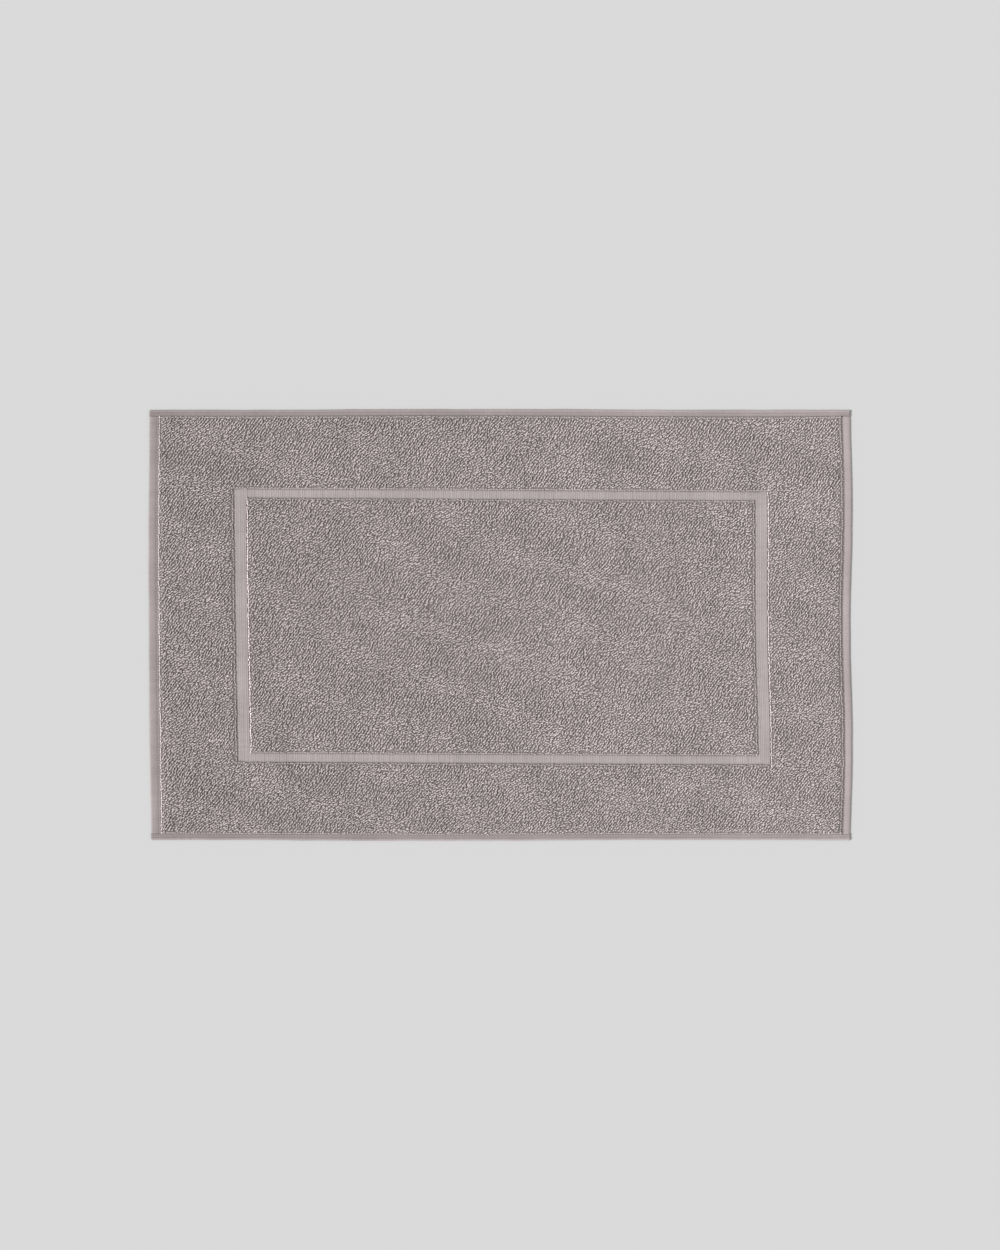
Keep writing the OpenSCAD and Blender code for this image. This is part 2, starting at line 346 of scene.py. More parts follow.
def loop_tree():
    """Leaning yarn loops at the given feet, each with its own shade, on a bed of their legs."""
    tree, asked = new_tree("yarn_loops", LOOP_SIZES)
    seed = asked["Seed"]

    at_edge = add(tree, "GeometryNodeInputNamedAttribute", {"Name": "at_edge"}, data_type="FLOAT")
    loose = maths(tree, "MULTIPLY_ADD", at_edge.outputs[0], EDGE_LOOSE - 1, 1.0)

    def drawn(size, draw):
        """A random number between minus and plus this size, smaller at the edges."""
        share = random_between(tree, -1.0, 1.0, maths(tree, "ADD", seed, draw))
        return maths(tree, "MULTIPLY", maths(tree, "MULTIPLY", share, loose), size)

    inputs = {"Resolution": asked["Segments"], "Start": (-LOOP_FOOT, 0, 0),
              "Start Handle": (-LOOP_BULGE, 0, LOOP_CROWN), "End Handle": (LOOP_BULGE, 0, LOOP_CROWN),
              "End": (LOOP_FOOT, 0, 0)}
    arch = add(tree, "GeometryNodeCurvePrimitiveBezierSegment", inputs)
    radius = maths(tree, "MULTIPLY", asked["Yarn"], 0.5)
    size = add(tree, "ShaderNodeCombineXYZ", {0: asked["Reach"], 1: asked["Reach"],
                                              2: maths(tree, "SUBTRACT", asked["Height"], radius)})
    sized = add(tree, "GeometryNodeTransform", {"Geometry": arch.outputs[0], "Scale": size.outputs[0]})
    yarn = rounded(tree, sized.outputs[0], asked["Sides"], radius)

    step = add(tree, "ShaderNodeCombineXYZ", {0: drawn(asked["Scatter"], 0),
                                              1: drawn(asked["Scatter"], 1), 2: 0.0}).outputs[0]
    feet = add(tree, "GeometryNodeSetPosition", {"Geometry": asked["Geometry"], "Offset": step})
    heading = add(tree, "GeometryNodeInputNamedAttribute", {"Name": "heading"}, data_type="FLOAT")
    swing = maths(tree, "ADD", drawn(asked["Lay spread"], 2), drawn(asked["Lay spread"], 3))
    leaning = add(tree, "ShaderNodeCombineXYZ",
                  {0: drawn(asked["Lean"], 4), 1: drawn(asked["Lean"], 5),
                   2: maths(tree, "ADD", swing, heading.outputs[0])}).outputs[0]
    turned = add(tree, "FunctionNodeEulerToRotation", {0: leaning}).outputs[0]
    stature = random_between(tree, asked["Shortest"], asked["Tallest"], maths(tree, "ADD", seed, 6))
    lowered = maths(tree, "MULTIPLY_ADD", at_edge.outputs[0], EDGE_STATURE - 1, 1.0)
    stature = maths(tree, "MULTIPLY", stature, lowered)
    inputs = {"Points": feet.outputs[0], "Instance": yarn, "Rotation": turned, "Scale": stature}
    loops = add(tree, "GeometryNodeInstanceOnPoints", inputs)
    shade = random_between(tree, -1.0, 1.0, maths(tree, "ADD", seed, 7))
    inputs = {"Geometry": loops.outputs[0], "Name": "shade", "Value": shade}
    shaded = add(tree, "GeometryNodeStoreNamedAttribute", inputs, data_type="FLOAT", domain="INSTANCE")

    place = add(tree, "GeometryNodeInputPosition").outputs[0]
    level = add(tree, "ShaderNodeSeparateXYZ", {0: place}).outputs[2]
    inputs = {"Size": asked["Bed"], "Vertices X": asked["Bed columns"],
              "Vertices Y": asked["Bed rows"], "Vertices Z": 2}
    slab = add(tree, "GeometryNodeMeshCube", inputs)
    deep = add(tree, "ShaderNodeSeparateXYZ", {0: asked["Bed"]}).outputs[2]
    sink = random_between(tree, maths(tree, "MULTIPLY", asked["Bed lumps"], -1), 0.0, seed)
    top_sink = maths(tree, "MULTIPLY", sink, maths(tree, "GREATER_THAN", level, 0.0))
    up = maths(tree, "MULTIPLY_ADD", deep, 0.5, top_sink)
    lumps = add(tree, "ShaderNodeCombineXYZ", {0: 0.0, 1: 0.0, 2: up})
    inputs = {"Geometry": slab.outputs[0], "Offset": lumps.outputs[0]}
    lumpy = add(tree, "GeometryNodeSetPosition", inputs)
    both = add(tree, "GeometryNodeJoinGeometry")
    tree.links.new(lumpy.outputs[0], both.inputs[0])
    tree.links.new(shaded.outputs[0], both.inputs[0])
    real = add(tree, "GeometryNodeRealizeInstances", {0: both.outputs[0]})
    # Each corner's share of the loop's height, stored for the material's painted shade at the roots;
    # edge loops take their own painted light instead.
    risen = maths(tree, "DIVIDE", level, asked["Height"])
    edge_painted_light = add(tree, "GeometryNodeInputNamedAttribute", {"Name": "edge_painted_light"}, data_type="FLOAT")
    short = maths(tree, "SUBTRACT", edge_painted_light.outputs[0], risen)
    evened = maths(tree, "MULTIPLY", short, at_edge.outputs[0])
    inputs = {"Geometry": real.outputs[0], "Name": "painted_light", "Value": maths(tree, "ADD", risen, evened)}
    marked = add(tree, "GeometryNodeStoreNamedAttribute", inputs, data_type="FLOAT", domain="POINT")
    inputs = {"Geometry": marked.outputs[0], "Translation": asked["Middle"], "Rotation": asked["Turn"]}
    placed = add(tree, "GeometryNodeTransform", inputs)
    end_tree(tree, placed.outputs[0], asked)
    return tree


pile_tree = loop_tree()
pile_cotton = cotton("pile_cotton", PILE_COLOUR, yarn_shade=0.12, darkest_painted_shade=0.14, fibre=0.5,
                     painted_light_to_x=0.14)
frame_edge = np.array(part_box("frame_band_right")[1][:2])
centre_edge = np.array(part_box("centre_pile")[1][:2])
mat_edge = np.array(ground_high[:2])


def row_feet(pitch):
    """Feet (x, y, heading, at edge, edge painted light) all over the mat, in rows along the lay."""
    reach = math.hypot(half_length, half_width)
    rng = np.random.default_rng(ROW_SEED)
    rows = np.arange(-reach, reach, ROW_PITCH * pitch)[:, None]
    starts = rng.uniform(0, LOOP_PITCH * pitch, rows.shape)
    runs = np.arange(-reach, reach, LOOP_PITCH * pitch)[None] + starts
    phase = ROW_WAVE * (runs + ROW_SHEAR * rows) + ROW_STRAY * np.sin(STRAY_WAVE * rows)
    slope = ROW_WANDER * ROW_WAVE * np.cos(phase)
    rows = rows + ROW_WANDER * np.sin(phase)
    c, s = math.cos(LAY_ANGLE), math.sin(LAY_ANGLE)
    heading = LAY_ANGLE + np.arctan(slope)
    inner = np.zeros(runs.shape)
    places = (runs * c - rows * s, runs * s + rows * c, heading, inner, inner)
    feet = np.stack(places, axis=-1).reshape(-1, 5)
    return feet[rng.random(len(feet)) > MISSING]


def edge_feet(edge, pitch, outward=1, lit_edge_painted_light=LIT_EDGE_PAINTED_LIGHT):
    """Feet in line along the sides of a rectangle with these half sizes; outward is -1 where the
    pile lies round the rectangle. The row on a left edge of the pile gets the painted light of the
    last argument, a painted highlight where light falls on it from the left; the other rows get the
    lower painted light of shaded edges."""
    rows = []
    for axis in (0, 1):
        count = round(2 * edge[axis] / (EDGE_PITCH * pitch))
        for side in (-1, 1):
            row = np.zeros((count + 1, 5))
            row[:, axis] = np.linspace(-edge[axis], edge[axis], count + 1)
            row[:, 1 - axis] = side * edge[1 - axis]
            faces_left, faces_right = (axis == 1 and side * outward == way for way in (-1, 1))
            row[:, 0] += NAP_LEAN * faces_right
            row[:, 2:] = axis * math.pi / 2, 1, lit_edge_painted_light if faces_left else SHADED_EDGE_PAINTED_LIGHT
            rows.append(row)
    return np.concatenate(rows)


def weave_pile(name, node, slot, feet, bed_low, bed_high, seed, under=False):
    """A piece of pile with loops at the given feet, and a bed between two corners."""
    low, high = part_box(node)
    stretch = UNDER_PITCH if under else 1.0
    sizes = dict(LOOP_SIZES, **(LOWER_LOOP if under else UPPER_LOOP))
    middle = (np.array(bed_low) + bed_high) / 2
    sizes["Middle"] = (*middle.tolist(), high.z + FEET_SUNK if under else low.z - FEET_SUNK)
    sizes["Turn"] = (math.pi if under else 0.0, 0.0, 0.0)
    sizes["Height"] = high.z - low.z + FEET_SUNK
    sizes["Bed"] = (*(np.array(bed_high) - bed_low).tolist(), BED_SHARE * sizes["Height"])
    sizes["Bed columns"] = round(sizes["Bed"][0] / BED_CELL) + 1
    sizes["Bed rows"] = round(sizes["Bed"][1] / BED_CELL) + 1
    sizes["Bed lumps"] = BED_LUMPS
    sizes["Scatter"], sizes["Lean"], sizes["Lay spread"] = LOOP_SCATTER, LOOP_LEAN, LAY_SPREAD
    sizes["Shortest"], sizes["Tallest"] = STATURE
    sizes["Reach"] = LOOP_REACH * stretch
    sizes["Yarn"] = YARN_THICKNESS * stretch * (UNDER_YARN if under else 1.0)
    sizes["Seed"] = seed
    turn = -1 if under else 1
    places = np.zeros((len(feet), 3))
    places[:, :2] = (feet[:, :2] - middle) * (1, turn)
    source = bpy.data.meshes.new("feet")
    source.from_pydata(places.tolist(), [], [])
    mark(source, "heading", turn * feet[:, 2])
    mark(source, "at_edge", feet[:, 3])
    mark(source, "edge_painted_light", feet[:, 4])
    mesh = grown(pile_tree, sizes, pile_cotton, source)
    press_edges(mesh)
    if node == "border_pile_under_left":
        clear_label(mesh)
    return finished(name, mesh, slot, node)


def press_edges(mesh):
    """Pulls the pile down along the hems, where the seam holds it."""
    points = corners(mesh)
    from_hem = np.min(mat_edge - np.abs(points[:, :2]), axis=1)
    pull = SEAM_PULL * np.clip(1 - from_hem / EDGE_ROLL, 0, 1) ** 2
    middle = (ground_low.z + ground_high.z) / 2
    points[:, 2] = middle + (points[:, 2] - middle) * (1 - pull)
    move_corners(mesh, points)


def clear_label(mesh):
    """Presses the loops up where the care label lies under them."""
    label_low, label_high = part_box("care_label")
    lying_top = label_low.z + LABEL_THICKNESS + LABEL_CLEARANCE
    points = corners(mesh)
    x, y = points[:, 0], points[:, 1]
    over = (x < label_high.x + LABEL_CLEARANCE) & (label_low.y < y) & (y < label_high.y)
    points[over, 2] = np.maximum(points[over, 2], lying_top)
    move_corners(mesh, points)


seed = PILE_SEED
for under in (False, True):
    pitch = UNDER_PITCH if under else 1.0
    kind, ending, slot = ("under_loops", "_under", "pile_under") if under else ("loops", "", "pile")
    rows = row_feet(pitch)
    near = EDGE_GAP + ROW_PITCH * pitch * EDGE_ROOM
    off_centre = np.abs(rows[:, :2]) - centre_edge
    off_frame = np.abs(rows[:, :2]) - frame_edge
    off_mat = np.abs(rows[:, :2]) - mat_edge
    centre = np.concatenate([rows[(off_centre < -near).all(axis=1)],
                             edge_feet(centre_edge - EDGE_GAP, pitch, 1, CENTRE_EDGE_PAINTED_LIGHT)])
    on_border = (off_frame > near).any(axis=1) & (off_mat < -near).all(axis=1)
    border = np.concatenate([rows[on_border], edge_feet(frame_edge + EDGE_GAP, pitch, -1),
                             edge_feet(mat_edge - EDGE_GAP, pitch)])

    part_names = ("whole",) if under else CENTRE_PARTS
    edge_x, edge_y = centre_edge - BED_MARGIN
    cuts = np.linspace(-edge_x, edge_x, len(part_names) + 1)
    for part, x0, x1 in zip(part_names, cuts, cuts[1:]):
        chosen = centre[(centre[:, 0] >= x0 - MM) & (centre[:, 0] < x1 + (x1 == cuts[-1]) * MM)]
        weave_pile(f"centre_{kind}_{part}", f"centre_pile{ending}", slot, chosen,
                                      (x0, -edge_y), (x1, edge_y), seed, under)
        seed += SEED_STEP
    inner_x, inner_y = frame_edge + BED_MARGIN
    outer_x, outer_y = mat_edge - BED_MARGIN
    x, y = border[:, 0], border[:, 1]
    beside = np.abs(x) > frame_edge[0]
    strips = {"left": (beside & (x < 0), (-outer_x, -outer_y), (-inner_x, outer_y)),
              "right": (beside & (x > 0), (inner_x, -outer_y), (outer_x, outer_y)),
              "front": (~beside & (y < 0), (-inner_x, -outer_y), (inner_x, -inner_y)),
              "back": (~beside & (y > 0), (-inner_x, inner_y), (inner_x, outer_y))}
    for side, (inside, bed_low, bed_high) in strips.items():
        node = f"border_pile{ending}_{side}"
        weave_pile(f"border_{kind}_{side}", node, slot, border[inside],
                                      bed_low, bed_high, seed, under)
        seed += SEED_STEP


# The flat frame is a stretch of the weave without loops. Its warp threads show as fine ribs that
# run from front to back, along the end bands and across the side bands, each a shade of its own.
RIB_PITCH = 2.1 * MM
RIB_WIDTH = 3.4 * MM
RIB_CELLS = {"end": 140, "side": 10}
RIB_SIDES = 5
RIB_HEIGHTS = (0.8, 1.1)  # of the band's height
BAND_SEED = 20
BAND_SHADE_WIDTH = 1.3 * MM  # width of the painted shade that the pile's wall casts on the band beside it
RIGHT_BAND_SHADE = 0.2  # share of that painted shade kept on an end band's right edge, lit from the left, where the nap leans away
RIB_SIZES = {"Middle": (0.0, 0.0, 0.0), "Count": 10, "Pitch": 0.0, "Length": 0.0, "Cells": 4,
             "Width": 0.0, "Height": 0.0, "Seed": 0}


def rib_tree():
    """Parallel threads side by side, each a flattened round, with its own height and shade."""
    tree, asked = new_tree("warp_ribs", RIB_SIZES)
    half = maths(tree, "MULTIPLY", asked["Length"], 0.5)
    start = add(tree, "ShaderNodeCombineXYZ", {0: 0.0, 1: maths(tree, "MULTIPLY", half, -1), 2: 0.0})
    end = add(tree, "ShaderNodeCombineXYZ", {0: 0.0, 1: half, 2: 0.0})
    inputs = {"Start": start.outputs[0], "End": end.outputs[0]}
    line = add(tree, "GeometryNodeCurvePrimitiveLine", inputs)
    cut = add(tree, "GeometryNodeResampleCurve", {"Curve": line.outputs[0], "Count": asked["Cells"]})
    thread = rounded(tree, cut.outputs[0], RIB_SIDES, maths(tree, "MULTIPLY", asked["Width"], 0.5))
    step = add(tree, "ShaderNodeCombineXYZ", {0: asked["Pitch"], 1: 0.0, 2: 0.0})
    run = maths(tree, "MULTIPLY", maths(tree, "SUBTRACT", asked["Count"], 1), asked["Pitch"])
    first = add(tree, "ShaderNodeCombineXYZ", {0: maths(tree, "MULTIPLY", run, -0.5), 1: 0.0, 2: 0.0})
    inputs = {"Count": asked["Count"], "Start Location": first.outputs[0], "Offset": step.outputs[0]}
    places = add(tree, "GeometryNodeMeshLine", inputs)
    seed = asked["Seed"]
    flat = maths(tree, "DIVIDE", maths(tree, "MULTIPLY", asked["Height"], 2), asked["Width"])
    height = maths(tree, "MULTIPLY", flat, random_between(tree, *RIB_HEIGHTS, seed))
    size = add(tree, "ShaderNodeCombineXYZ", {0: 1.0, 1: 1.0, 2: height})
    inputs = {"Points": places.outputs[0], "Instance": thread, "Scale": size.outputs[0]}
    ribs = add(tree, "GeometryNodeInstanceOnPoints", inputs)
    shade = random_between(tree, -1.0, 1.0, maths(tree, "ADD", seed, 1))
    inputs = {"Geometry": ribs.outputs[0], "Name": "shade", "Value": shade}
    shaded = add(tree, "GeometryNodeStoreNamedAttribute", inputs, data_type="FLOAT", domain="INSTANCE")
    placed = add(tree, "GeometryNodeTransform",
                 {"Geometry": shaded.outputs[0], "Translation": asked["Middle"]})
    end_tree(tree, placed.outputs[0], asked)
    return tree


band_tree = rib_tree()
band_cotton = cotton("frame_cotton", COTTON_COLOUR, yarn_shade=0.035, darkest_painted_shade=0.66, fibre=0.25,
                     ribs=260)
for number, side in enumerate(("left", "right", "front", "back")):
    for face in ("frame_band", "frame_band_under"):
        low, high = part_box(f"{face}_{side}")
        kind = "end" if side in ("left", "right") else "side"
        sizes = dict(RIB_SIZES)
        sizes["Count"] = round((high.x - low.x) / RIB_PITCH)
        sizes["Pitch"] = (high.x - low.x) / sizes["Count"]
        sizes["Length"], sizes["Cells"] = high.y - low.y, RIB_CELLS[kind] + 1
        sizes["Width"], sizes["Height"] = RIB_WIDTH, high.z - low.z
        root_z = high.z if face == "frame_band_under" else low.z
        sizes["Middle"] = ((low.x + high.x) / 2, (low.y + high.y) / 2, root_z)
        sizes["Seed"] = BAND_SEED + 2 * number
        mesh = grown(band_tree, sizes, band_cotton)
        place = corners(mesh)[:, :2]
        from_border = np.min(frame_edge - np.abs(place), axis=1)
        from_centre = np.max(np.abs(place) - centre_edge, axis=1)
        # Painted shade: the band darker close to the pile, as in the shadow of its wall, and much less
        # on an end band's right edge.
        painted_band_shade = 1 - np.clip(np.minimum(from_border, from_centre) / BAND_SHADE_WIDTH, 0, 1)
        on_right = (kind == "end") & (place[:, 0] > sizes["Middle"][0])
        mark(mesh, "painted_light", 1 - painted_band_shade * np.where(on_right, RIGHT_BAND_SHADE, 1.0))
        name = f"ribbed_band_{side}" if face == "frame_band" else f"ribbed_band_under_{side}"
        finished(name, mesh, "frame_band", f"{face}_{side}")


# Each hem is the same cloth without pile, turned in twice and stitched down near the pile. The
# side hems are sewn last and run through the corners, so their ends show the folded layers.
STITCH_PITCH = 3.0 * MM
SEAM_IN = 2.2 * MM
SEAM_PRESS, PRESS_WIDTH = 0.26, 4.4 * MM  # share of the hem's height lost at the seam
FOLD_PRESS = 0.34  # and more of it at the fold
DENT_DEPTH, DENT_WIDTH = 0.55 * MM, 0.8 * MM
CREASE_DEPTH, CREASE_WIDTH = 0.3 * MM, 0.7 * MM
SIDE_CREASE = 0.55  # of the way from the pile to the fold, where a turned-in edge ends
PILE_SHADE_WIDTH = 0.8 * MM
END_PAINTED_SHADES = (0.65, 0.0, 0.15)  # painted shade in the stitch holes, in the crease and beside the pile
SIDE_PAINTED_SHADES = (0.3, 0.3, 0.7)
FOLD_PAINTED_LIGHT, FOLD_LIGHT_WIDTH = 0.12, 1.2 * MM  # how much lighter the fold is painted, a painted light on it, and how far in
PUFF, PUCKER = 0.16 * MM, 0.12 * MM  # up between the stitches, and in at each of them
BETWEEN_HOLES = 0.3  # of a hole's depth, left between two of them
HEM_WANDER, WANDER_IN = 0.3 * MM, 0.3  # of the fold to and fro, and the share of it to the inside
HEM_WAVES, WAVE_LENGTH, WAVE_STEP = (1, 0.7, 0.5, 0.4), 0.21, 1.3  # heights, the longest in metres
HEM_SEED = 40
TOP_CELLS, FOLD_CELLS, BOTTOM_CELLS, INNER_CELLS, RAW_CELLS = 12, 7, 4, 4, 3
RAW_EDGE_BACK = 0.6 * MM
HEM_COLOUR = (0.284, 0.2425, 0.2435)

cloth = ground_high.z - ground_low.z
hem_low, hem_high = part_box("end_hem_right")
hem_height = hem_high.z - hem_low.z
fold_gap = (hem_height - 3 * cloth) / 2


def bend(middle_out, middle_up, radius, start, end, cells):
    """Points round a bend between two angles in degrees, without the first."""
    turns = np.radians(np.linspace(start, end, cells)[1:])
    return list(zip(middle_out + radius * np.cos(turns), middle_up + radius * np.sin(turns)))


def fold_line(width):
    """The middle line of the folded cloth in section, from the pile out, as points (out, up)."""
    top, middle, bottom = hem_height - cloth / 2, hem_height / 2, cloth / 2
    fold_x = width - hem_height / 2
    inner = (2 * cloth + fold_gap) / 2
    points = [(x, top) for x in np.linspace(0, fold_x, TOP_CELLS)]
    points += bend(fold_x, middle, top - middle, 90, -90, FOLD_CELLS)
    points += [(x, bottom) for x in np.linspace(fold_x, inner, BOTTOM_CELLS)[1:]]
    points += bend(inner, inner, inner - bottom, 270, 90, INNER_CELLS)
    raw_edge = fold_x - RAW_EDGE_BACK
    points += [(x, inner + inner - bottom) for x in np.linspace(inner, raw_edge, RAW_CELLS)[1:]]
    return np.array(points)


def hem_outline(width):
    """The closed outline of the folded cloth in section."""
    line = fold_line(width)
    ahead = np.gradient(line, axis=0)
    ahead /= np.linalg.norm(ahead, axis=1)[:, None]
    out = np.stack([-ahead[:, 1], ahead[:, 0]], axis=1)
    return np.concatenate([line + out * cloth / 2, (line - out * cloth / 2)[::-1]])


def hem_mesh(width, length, base, turn, seed, crease):
    """Folded cloth along a hem: base is where the pile ends at the hem's middle, and turn is the
    angle from +X of the way the hem faces. The seam pulls the cloth in at each hole, and there may
    be a crease at a share of the width. The painted shade of the holes, the crease and the pile's
    shadow beside it, and the painted light on the fold, are stored for the hem's material."""
    section = hem_outline(width)
    count = 2 * round(length / STITCH_PITCH)
    runs = (np.arange(count + 1) / count - 0.5) * length
    rng = np.random.default_rng(seed)
    phases = rng.uniform(0, 2 * math.pi, (2, len(HEM_WAVES)))
    periods = WAVE_LENGTH / np.arange(1, len(HEM_WAVES) + 1) ** WAVE_STEP
    waves = np.sin(2 * math.pi * runs[:, None, None] / periods + phases)
    puffed, strayed = (waves @ HEM_WAVES).T / sum(HEM_WAVES)
    at_seam = np.exp(-((section[:, 0] - SEAM_IN) / DENT_WIDTH) ** 2)
    pressed = np.exp(-(np.maximum(section[:, 0] - SEAM_IN, 0) / PRESS_WIDTH) ** 2)
    at_crease = np.exp(-((section[:, 0] - crease * width) / CREASE_WIDTH) ** 2) * (crease > 0)
    free = np.clip((section[:, 0] - SEAM_IN) / (width - SEAM_IN), 0, 1)
    beside_pile = np.exp(-(section[:, 0] / PILE_SHADE_WIDTH) ** 2)
    painted_fold_light = FOLD_PAINTED_LIGHT * np.exp(-((width - section[:, 0]) / FOLD_LIGHT_WIDTH) ** 2)
    in_hole, in_crease, by_pile = SIDE_PAINTED_SHADES if crease else END_PAINTED_SHADES
    points, painted_light_levels = [], []
    for k, run in enumerate(runs):
        hole = 1.0 if k % 2 == 0 else BETWEEN_HOLES
        out, up = section.T.copy()
        above = (up - hem_height / 2) / (hem_height / 2)
        up = up - (SEAM_PRESS * pressed + FOLD_PRESS * free**3) * hem_height * (above + 1) / 2
        up = up - (DENT_DEPTH * hole * at_seam + CREASE_DEPTH * at_crease) * above
        up = up + PUFF * (puffed[k] + 0.5 * (1 - hole)) * np.sin(math.pi * free) * (above + 1) / 2
        out = out + HEM_WANDER * free * (strayed[k] - WANDER_IN) + PUCKER * (0.5 - hole) * free
        points.append(np.stack([out, np.full(len(out), run), up], axis=1))
        # Painted shade in the stitch holes, in the crease and in the pile's shadow beside it, and
        # painted light on the fold.
        shade = in_hole * (hole * at_seam) ** 2 + in_crease * at_crease + by_pile * beside_pile
        painted_light_levels.append(1 - np.clip(shade, 0, 1) + painted_fold_light)
    points = np.concatenate(points)
    c, s = math.cos(turn), math.sin(turn)
    placed = np.stack([base[0] + points[:, 0] * c - points[:, 1] * s,
                       base[1] + points[:, 0] * s + points[:, 1] * c, base[2] + points[:, 2]], axis=1)
    step = len(section)
    faces = [tuple(range(step))[::-1], tuple(range(count * step, (count + 1) * step))]
    for k in range(count):
        for i in range(step):
            a, b = k * step + i, k * step + (i + 1) % step
            faces.append((a, b, b + step, a + step))
    mesh = bpy.data.meshes.new("hem")
    mesh.from_pydata(placed.tolist(), [], faces)
    mesh.polygons.foreach_set("use_smooth", [True] * len(faces))
    mark(mesh, "painted_light", np.concatenate(painted_light_levels))
    return mesh


# The hems are painted lighter still towards +X, standing in for the left hem's slope lying away from
# the light and the right hem's towards it.
hem_cotton = cotton("hem_cotton", HEM_COLOUR, darkest_painted_shade=0.42, fibre=0.3, ribs=260, sheen=0.35,
                    painted_light_to_x=0.26)
hem_names = {"left": "end_hem_left", "right": "end_hem_right", "front": "side_hem_front",
             "back": "side_hem_back"}
hem_turns = {"left": math.pi, "right": 0.0, "front": -math.pi / 2, "back": math.pi / 2}
hem_bases, hem_lengths = {}, {}
for number, (side, node) in enumerate(hem_names.items()):
    low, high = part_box(node)
    if side in ("left", "right"):
        width, hem_lengths[side] = high.x - low.x, high.y - low.y
        hem_bases[side] = (high.x if side == "left" else low.x, 0.0, low.z)
    else:
        width, hem_lengths[side] = high.y - low.y, high.x - low.x
        hem_bases[side] = (0.0, high.y if side == "front" else low.y, low.z)
    crease = 0.0 if side in ("left", "right") else SIDE_CREASE
    mesh = hem_mesh(width, hem_lengths[side], hem_bases[side], hem_turns[side], HEM_SEED + number,
                    crease)
    mesh.materials.append(hem_cotton)
    finished(f"folded_hem_{side}", mesh, "hem_cloth", node)


# The hems are lockstitched: the needle thread makes the row on top and the bobbin thread the row
# below, pulled into the cloth at every hole. The seams are locked with a few stitches back.
THREAD_COLOUR = (0.26, 0.224, 0.222)
THREAD_THICKNESS = 0.5 * MM
STITCH_SIDES, STITCH_SEGMENTS = 4, 4
STITCH_SHARE = 0.86  # of the pitch
STITCH_END, STITCH_DIP = 0.5, -0.22  # how far out and up its ends are, of its length
STITCH_HANDLE, STITCH_BOW = 0.3, 0.12  # and its handles
STITCH_SLANT = (-0.09, 0.05)
STITCH_SINK = 0.28 * MM
TACK_STITCHES = 4
STITCH_SIZES = {"Middle": (0.0, 0.0, 0.0), "Turn": (0.0, 0.0, 0.0), "Count": 10, "Pitch": 0.0,
                "Length": 0.0, "Thread": 0.0, "Seed": 0}


def stitch_tree():
    """A row of stitches, each a short bowed thread with its ends down in the cloth."""
    tree, asked = new_tree("stitch_row", STITCH_SIZES)
    bow = {"Resolution": STITCH_SEGMENTS, "Start": (0, -STITCH_END, STITCH_DIP),
           "Start Handle": (0, -STITCH_HANDLE, STITCH_BOW),
           "End Handle": (0, STITCH_HANDLE, STITCH_BOW), "End": (0, STITCH_END, STITCH_DIP)}
    bowed = add(tree, "GeometryNodeCurvePrimitiveBezierSegment", bow)
    long = add(tree, "ShaderNodeCombineXYZ", dict.fromkeys(range(3), asked["Length"]))
    inputs = {"Geometry": bowed.outputs[0], "Scale": long.outputs[0]}
    sized = add(tree, "GeometryNodeTransform", inputs)
    radius = maths(tree, "MULTIPLY", asked["Thread"], 0.5)
    stitch = rounded(tree, sized.outputs[0], STITCH_SIDES, radius)
    run = maths(tree, "MULTIPLY", maths(tree, "SUBTRACT", asked["Count"], 1), asked["Pitch"])
    first = add(tree, "ShaderNodeCombineXYZ", {0: 0.0, 1: maths(tree, "MULTIPLY", run, -0.5), 2: 0.0})
    step = add(tree, "ShaderNodeCombineXYZ", {0: 0.0, 1: asked["Pitch"], 2: 0.0})
    inputs = {"Count": asked["Count"], "Start Location": first.outputs[0], "Offset": step.outputs[0]}
    places = add(tree, "GeometryNodeMeshLine", inputs)
    slant = random_between(tree, *STITCH_SLANT, asked["Seed"])
    turned = add(tree, "ShaderNodeCombineXYZ", {0: 0.0, 1: 0.0, 2: slant})
    rotation = add(tree, "FunctionNodeEulerToRotation", {0: turned.outputs[0]})
    inputs = {"Points": places.outputs[0], "Instance": stitch, "Rotation": rotation.outputs[0]}
    row = add(tree, "GeometryNodeInstanceOnPoints", inputs)
    inputs = {"Geometry": row.outputs[0], "Translation": asked["Middle"], "Rotation": asked["Turn"]}
    placed = add(tree, "GeometryNodeTransform", inputs)
    end_tree(tree, placed.outputs[0], asked)
    return tree


seam_tree = stitch_tree()
seam_thread = cotton("seam_thread", THREAD_COLOUR, fibre=0.2, sheen=0.4)


def stitch_row(middle, facing, length, under=False):
    """A laid row of stitches; middle is the row's middle on the cloth's face."""
    sizes = dict(STITCH_SIZES)
    sizes["Count"] = round(length / STITCH_PITCH)
    sizes["Pitch"] = length / sizes["Count"]
    sizes["Length"], sizes["Thread"] = STITCH_PITCH * STITCH_SHARE, THREAD_THICKNESS
    sizes["Middle"] = middle
    sizes["Turn"] = (math.pi if under else 0.0, 0.0, facing)
    sizes["Seed"] = round((abs(middle[0]) + 2 * abs(middle[1])) / MM)  # another for each place
    return grown(seam_tree, sizes, seam_thread)


for side, facing in hem_turns.items():
    base, length = hem_bases[side], hem_lengths[side]
    seam_x = base[0] + SEAM_IN * math.cos(facing)
    seam_y = base[1] + SEAM_IN * math.sin(facing)
    top_z = base[2] + (1 - SEAM_PRESS) * hem_height - STITCH_SINK
    bottom_z = base[2] + STITCH_SINK
    upper = stitch_row((seam_x, seam_y, top_z), facing, length)
    finished(f"needle_stitches_{side}", upper, "sewing_thread", f"needle_thread_{side}")
    lower = stitch_row((seam_x, seam_y, bottom_z), facing, length, under=True)
    finished(f"bobbin_stitches_{side}", lower, "sewing_thread", f"bobbin_thread_{side}")

